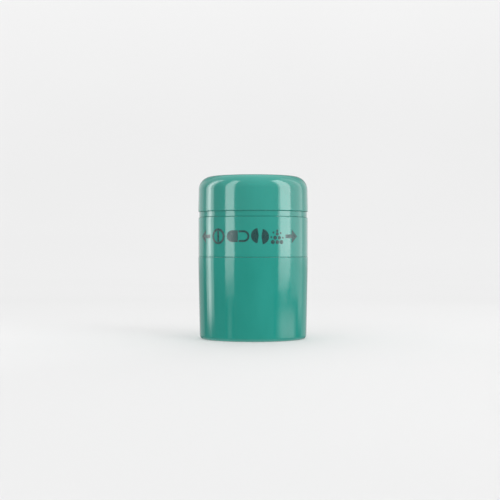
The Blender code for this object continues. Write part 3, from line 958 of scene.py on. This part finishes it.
def draw_capsule(art, left, right):
    """A capsule with its left half filled, from the centres of its two round ends."""
    radius, weight = 2.35, 0.8
    art.disc(left, 0.0, radius, 90, 270)
    art.patch([[(left + 0.6 * k, -radius), (left + 0.6 * k, radius)] for k in range(5)])
    inner = radius - weight / 2
    straight = [left + 2.75 + 0.41 * k for k in range(5)]
    outline = [(x, -inner) for x in straight]
    outline += sweep((right, 0), inner, -88, 88, 20)
    outline += [(x, inner) for x in reversed(straight)]
    art.line(outline, weight)


def draw_broken_tablet(art, x):
    """The two halves of a broken tablet."""
    art.disc(x - 0.55, 0.2, 3.1, 100, 260)
    art.disc(x + 0.55, -0.2, 3.1, -80, 80)


def draw_powder(art, x):
    """A heap of powder, in rows that narrow upwards, with a few loose grains."""
    for height, count, size in ((-2.35, 3, 0.86), (-0.6, 2, 0.78), (0.95, 1, 0.68), (2.2, 1, 0.5)):
        for k in range(count):
            art.disc(x + 1.95 * (k - (count - 1) / 2), height, size - 0.06 * (k % 2))
    for across, up in ((-1.7, 1.5), (1.6, 1.3), (-2.6, -0.4), (2.6, -0.6)):
        art.disc(x + across, up, 0.4)


def make_sleeve_print():
    """Generic marks, with no lettering: turn arrows either side of a tablet becoming powder."""
    middle, turn = 42.6 * MM, math.radians(-7.5)
    art = Print(SLEEVE_HIGH.x, middle, turn)
    for side in (-1, 1):
        draw_arrow(art, side)
    draw_tablet(art, -12.3)
    draw_capsule(art, -5.7, -0.9)
    draw_broken_tablet(art, 5.75)
    draw_powder(art, 13.0)
    piece = art.wrapped("sleeve_print", thickness=0.02 * MM, buried=0.06 * MM)
    face_out(piece)
    piece.data.materials.append(INK)
    piece.data.shade_smooth()
    piece.data.set_sharp_from_angle(angle=math.radians(40))
    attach(piece, "crusher")
    return piece


# ------------------------------------------------------------------ stage, light and camera


def pale_stage():
    """A seamless round sweep: a pale floor that curves up into a pale wall, glowing with painted light
    that is dimmest on the floor and brightest high on the wall. Only the camera sees it.
    """
    recipe = Recipe("pale_sweep")
    tone = recipe.blend(recipe.noise(0.004, 2), (0.47, 0.47, 0.47, 1), (0.49, 0.49, 0.49, 1))
    split = recipe.feed(recipe.add("ShaderNodeSeparateXYZ"), Vector=recipe.place)
    # painted light: the sweep itself glows, more strongly the higher it is, in place of the light that
    # would fall on it
    painted_glow = recipe.spread(split.outputs[2], -200.0, 900.0, 0.15, 0.50)
    recipe.finish(
        Base_Color=tone, Roughness=0.75, Specular_IOR_Level=0.2,
        Emission_Color=(1, 1, 1, 1), Emission_Strength=painted_glow,
    )
    reach, curve, height = 1.6, 0.7, 2.6
    profile = [(0.0, 0.0), (reach - curve, 0.0)]
    profile += [(reach - curve + x, curve + z) for x, z in sweep((0, 0), curve, -90, 0, 16)[1:]]
    profile.append((reach, height))
    vertices, faces = [(0, 0, 0)], []
    facets = 96
    for radius, z in profile[1:]:
        for k in range(facets):
            a = 2 * math.pi * k / facets
            vertices.append((radius * math.cos(a), radius * math.sin(a), z))
    for k in range(facets):
        after = (k + 1) % facets
        faces.append([0, 1 + k, 1 + after])
        for row in range(len(profile) - 2):
            low, high = 1 + row * facets, 1 + (row + 1) * facets
            faces.append([low + k, high + k, high + after, low + after])
    floor = add_mesh("stage_sweep", vertices, faces)
    floor.data.materials.append(recipe.material)
    floor.data.shade_smooth()
    floor.visible_glossy = False
    floor.visible_diffuse = False
    floor.visible_shadow = False
    return floor


def glow_panel(
    name, azimuths, radiance, foot, knee=None, share=0.6, fade=None, top=300, slant=0,
    distance=420, bend=38, soft=0,
):
    """A curved light panel seen only in reflections. Azimuth 0 is the front, and right is plus.

    It stands upright to its top and then bends inwards over the object. Its light rises from
    nothing between the two heights of its foot, to a share of its full strength where it has a
    knee, and to the whole of it between the knee's two heights. It dies away again where it has a
    fade. Slant is how far its right edge leans in at the foot, and soft is how far in from both
    sides the light takes to reach its full strength. Heights and distances here are in
    millimetres and angles in degrees.
    """
    first, last = azimuths
    dark, full = foot
    foot_rows, wall_rows, bend_rows, across = 8, 10, 6 if bend else 0, 12
    path = [(distance, dark + (full - dark) * k / foot_rows) for k in range(foot_rows)]
    path += [(distance, full + (top - full) * k / wall_rows) for k in range(wall_rows + 1)]
    for k in range(bend_rows):
        a = math.radians(bend * (k + 1) / bend_rows)
        path.append((distance * math.cos(a), top + distance * math.sin(a)))
    vertices, faces = [], []
    for reach, level in path:
        lean = slant * max(0.0, (full - level) / (full - dark))
        for k in range(across + 1):
            a = math.radians(first + (last - lean - first) * k / across)
            vertices.append((reach * math.sin(a) * MM, -reach * math.cos(a) * MM, level * MM))
    for i in range(len(path) - 1):
        for k in range(across):
            a = i * (across + 1) + k
            faces.append([a, a + 1, a + across + 2, a + across + 1])
    panel = add_mesh(name, vertices, faces)
    recipe = Recipe(name)
    split = recipe.feed(recipe.add("ShaderNodeSeparateXYZ"), Vector=recipe.place)
    height = split.outputs[2]
    glow = recipe.spread(height, dark, full, 0.0, radiance * (share if knee else 1.0))
    if knee:
        glow = recipe.maths("ADD", glow, recipe.spread(height, *knee, 0.0, radiance * (1 - share)))
    if fade:
        glow = recipe.maths("MULTIPLY", glow, recipe.spread(height, *fade, 1.0, 0.0))
    if soft:
        front = recipe.maths("MULTIPLY", split.outputs[1], -1.0)
        side = recipe.maths("DEGREES", recipe.maths("ARCTAN2", split.outputs[0], front))
        glow = recipe.maths("MULTIPLY", glow, recipe.spread(side, first, first + soft))
        glow = recipe.maths("MULTIPLY", glow, recipe.spread(side, last, last - soft))
    recipe.finish(
        Base_Color=(0, 0, 0, 1), Specular_IOR_Level=0.0, Emission_Color=(1, 1, 1, 1),
        Emission_Strength=recipe.maths("MINIMUM", glow, glancing_limit(recipe, distance)),
    )
    panel.data.materials.append(recipe.material)
    panel.visible_camera = False
    panel.visible_diffuse = False
    panel.visible_shadow = False
    panel.visible_transmission = False
    return panel


def glancing_limit(recipe, distance):
    """The most that a panel shines along a ray that grazes the cylinder, so that no rim burns out.

    How squarely the ray left the cylinder follows from its length and its slope, and the limit is
    a fixed reflected light over Fresnel's share at that angle.
    """
    split = recipe.add("ShaderNodeSeparateXYZ")
    recipe.feed(split, Vector=recipe.add("ShaderNodeNewGeometry").outputs["Incoming"])
    rise = recipe.maths("POWER", split.outputs[2], 2.0)
    level = recipe.maths("SQRT", recipe.maths("SUBTRACT", 1.0, rise, clamp=True))
    length = recipe.add("ShaderNodeLightPath").outputs["Ray Length"]
    reach = recipe.maths("MULTIPLY", length, level)
    square = recipe.maths("SUBTRACT", distance * MM / BODY, recipe.maths("DIVIDE", reach, BODY))
    away = recipe.maths("SUBTRACT", 1.0, recipe.maths("MAXIMUM", square, 0.0), clamp=True)
    mirror = recipe.maths("MULTIPLY", recipe.maths("POWER", away, 5.0), 0.96)
    return recipe.maths("DIVIDE", GLANCING_LIGHT, recipe.maths("ADD", mirror, 0.04))


def soft_light(name, azimuth, elevation, power, distance=3.0, size=2.0):
    """A big square light aimed at the object's middle. It lights surfaces but isn't reflected."""
    a, e = math.radians(azimuth), math.radians(elevation)
    aim = Vector((0, 0, LID_HIGH.z * 0.5))
    place = aim + distance * Vector((
        math.sin(a) * math.cos(e), -math.cos(a) * math.cos(e), math.sin(e)
    ))
    data = bpy.data.lights.new(name, "AREA")
    data.shape = "SQUARE"
    data.size = size
    data.energy = power
    light = bpy.data.objects.new(name, data)
    light.location = place
    light.rotation_euler = (place - aim).to_track_quat("Z", "Y").to_euler()
    light.visible_glossy = False
    light.visible_camera = False
    bpy.context.scene.collection.objects.link(light)
    return light


def studio_sky():
    """Soft light from all round: dimmest just under the horizon, brighter up and down from it."""
    world = bpy.data.worlds.new("studio")
    world.use_nodes = True
    tree = world.node_tree
    place = tree.nodes.new("ShaderNodeTexCoord")
    split = tree.nodes.new("ShaderNodeSeparateXYZ")
    ramp = tree.nodes.new("ShaderNodeValToRGB")
    tree.links.new(place.outputs["Generated"], split.inputs[0])
    shift = tree.nodes.new("ShaderNodeMath")
    shift.operation = "MULTIPLY_ADD"
    shift.inputs[1].default_value = 0.5
    shift.inputs[2].default_value = 0.5
    tree.links.new(split.outputs[2], shift.inputs[0])
    tree.links.new(shift.outputs[0], ramp.inputs[0])
    stops = (  # (height from 0 straight down to 1 straight up, light)
        (0.0, 1.1), (0.28, 0.46), (0.38, 0.34), (0.475, 0.18), (0.53, 0.58), (0.85, 0.85), (0.97, 1.0)
    )
    keys = ramp.color_ramp.elements
    while len(keys) < len(stops):
        keys.new(0.5)
    for key, (at, light) in zip(keys, stops):
        key.position = at
        key.color = (light, light, light, 1)
    tree.links.new(ramp.outputs[0], tree.nodes["Background"].inputs["Color"])
    tree.nodes["Background"].inputs["Strength"].default_value = 1.25
    return world


def light_the_stage():
    """The sky, the panels that make the highlights, and the soft lights."""
    scene = bpy.context.scene
    scene.view_settings.view_transform = "Standard"
    scene.world = studio_sky()

    # heights and settings that panels share
    deep, low, knee = (-110, -30), (-42, -8), (15, 33)
    near = {
        "distance": 220, "top": 330, "bend": 0, "foot": (-24, 6), "knee": (24, 34), "share": 0.74,
    }
    below = {"foot": (-64, -44), "top": -8, "bend": 0, "fade": (-32, -10)}
    glow_panel("glow_left_rear", (-180, -126), 1.0, foot=deep, knee=knee)
    glow_panel("glow_left_side", (-110.4, -86.8), 3.6, **near)
    glow_panel("glow_left_core", (-103.1, -94.5), 7.5, **{**near, "distance": 215})
    glow_panel("glow_left_front", (-58.6, -38.6), 6.0, foot=(-14, 6), knee=(12, 34))
    glow_panel("glow_left_low", (-58, -40), 0.9, soft=8, **below)
    glow_panel("glow_right_lead", (52.5, 56.5), 3.4, foot=(-19, 7))
    glow_panel("glow_right_front", (56.5, 82.7), 7.2, foot=(-19, 7), knee=knee, slant=18)
    glow_panel("glow_right_side", (82.7, 110.7), 2.1, foot=low, knee=knee)
    glow_panel("glow_right_strip", (110.7, 123), 2.4, foot=low, knee=knee, share=0.5)
    glow_panel("glow_right_rear", (123, 180), 1.0, foot=deep, knee=knee)
    glow_panel("glow_right_low", (44, 108), 2.5, soft=22, **below)

    soft_light("key_left", -35, 25, power=15)
    soft_light("key_right", 45, 25, power=38)
    soft_light("back_fill", 180, 40, power=16)


def aim_the_camera():
    """A level view of the printed front from half a metre, as a product picture is taken."""
    aside, away, height = -1.3 * MM, 500 * MM, 37.05 * MM
    camera = bpy.data.cameras.new("camera")
    camera.sensor_width = 36.0
    camera.lens = 85.7
    camera.clip_start = 0.01
    obj = bpy.data.objects.new("camera", camera)
    obj.location = (aside, -away, height)
    obj.rotation_euler = (math.radians(90), 0, 0)
    bpy.context.scene.collection.objects.link(obj)
    bpy.context.scene.camera = obj


# ------------------------------------------------------------------ the whole


for start_up in [o for o in bpy.data.objects if o.name in ("Cube", "Light", "Camera")]:
    bpy.data.objects.remove(start_up)

make_base_shell()
make_crush_cup()
make_anvil_plate()
make_ram_seal()
make_screw_ram()
make_crushing_head()
make_head_screw()
make_crusher_sleeve()
make_compartment_tray()
make_lid_shell()
make_lid_liner()
make_sleeve_print()

pale_stage()
light_the_stage()
aim_the_camera()
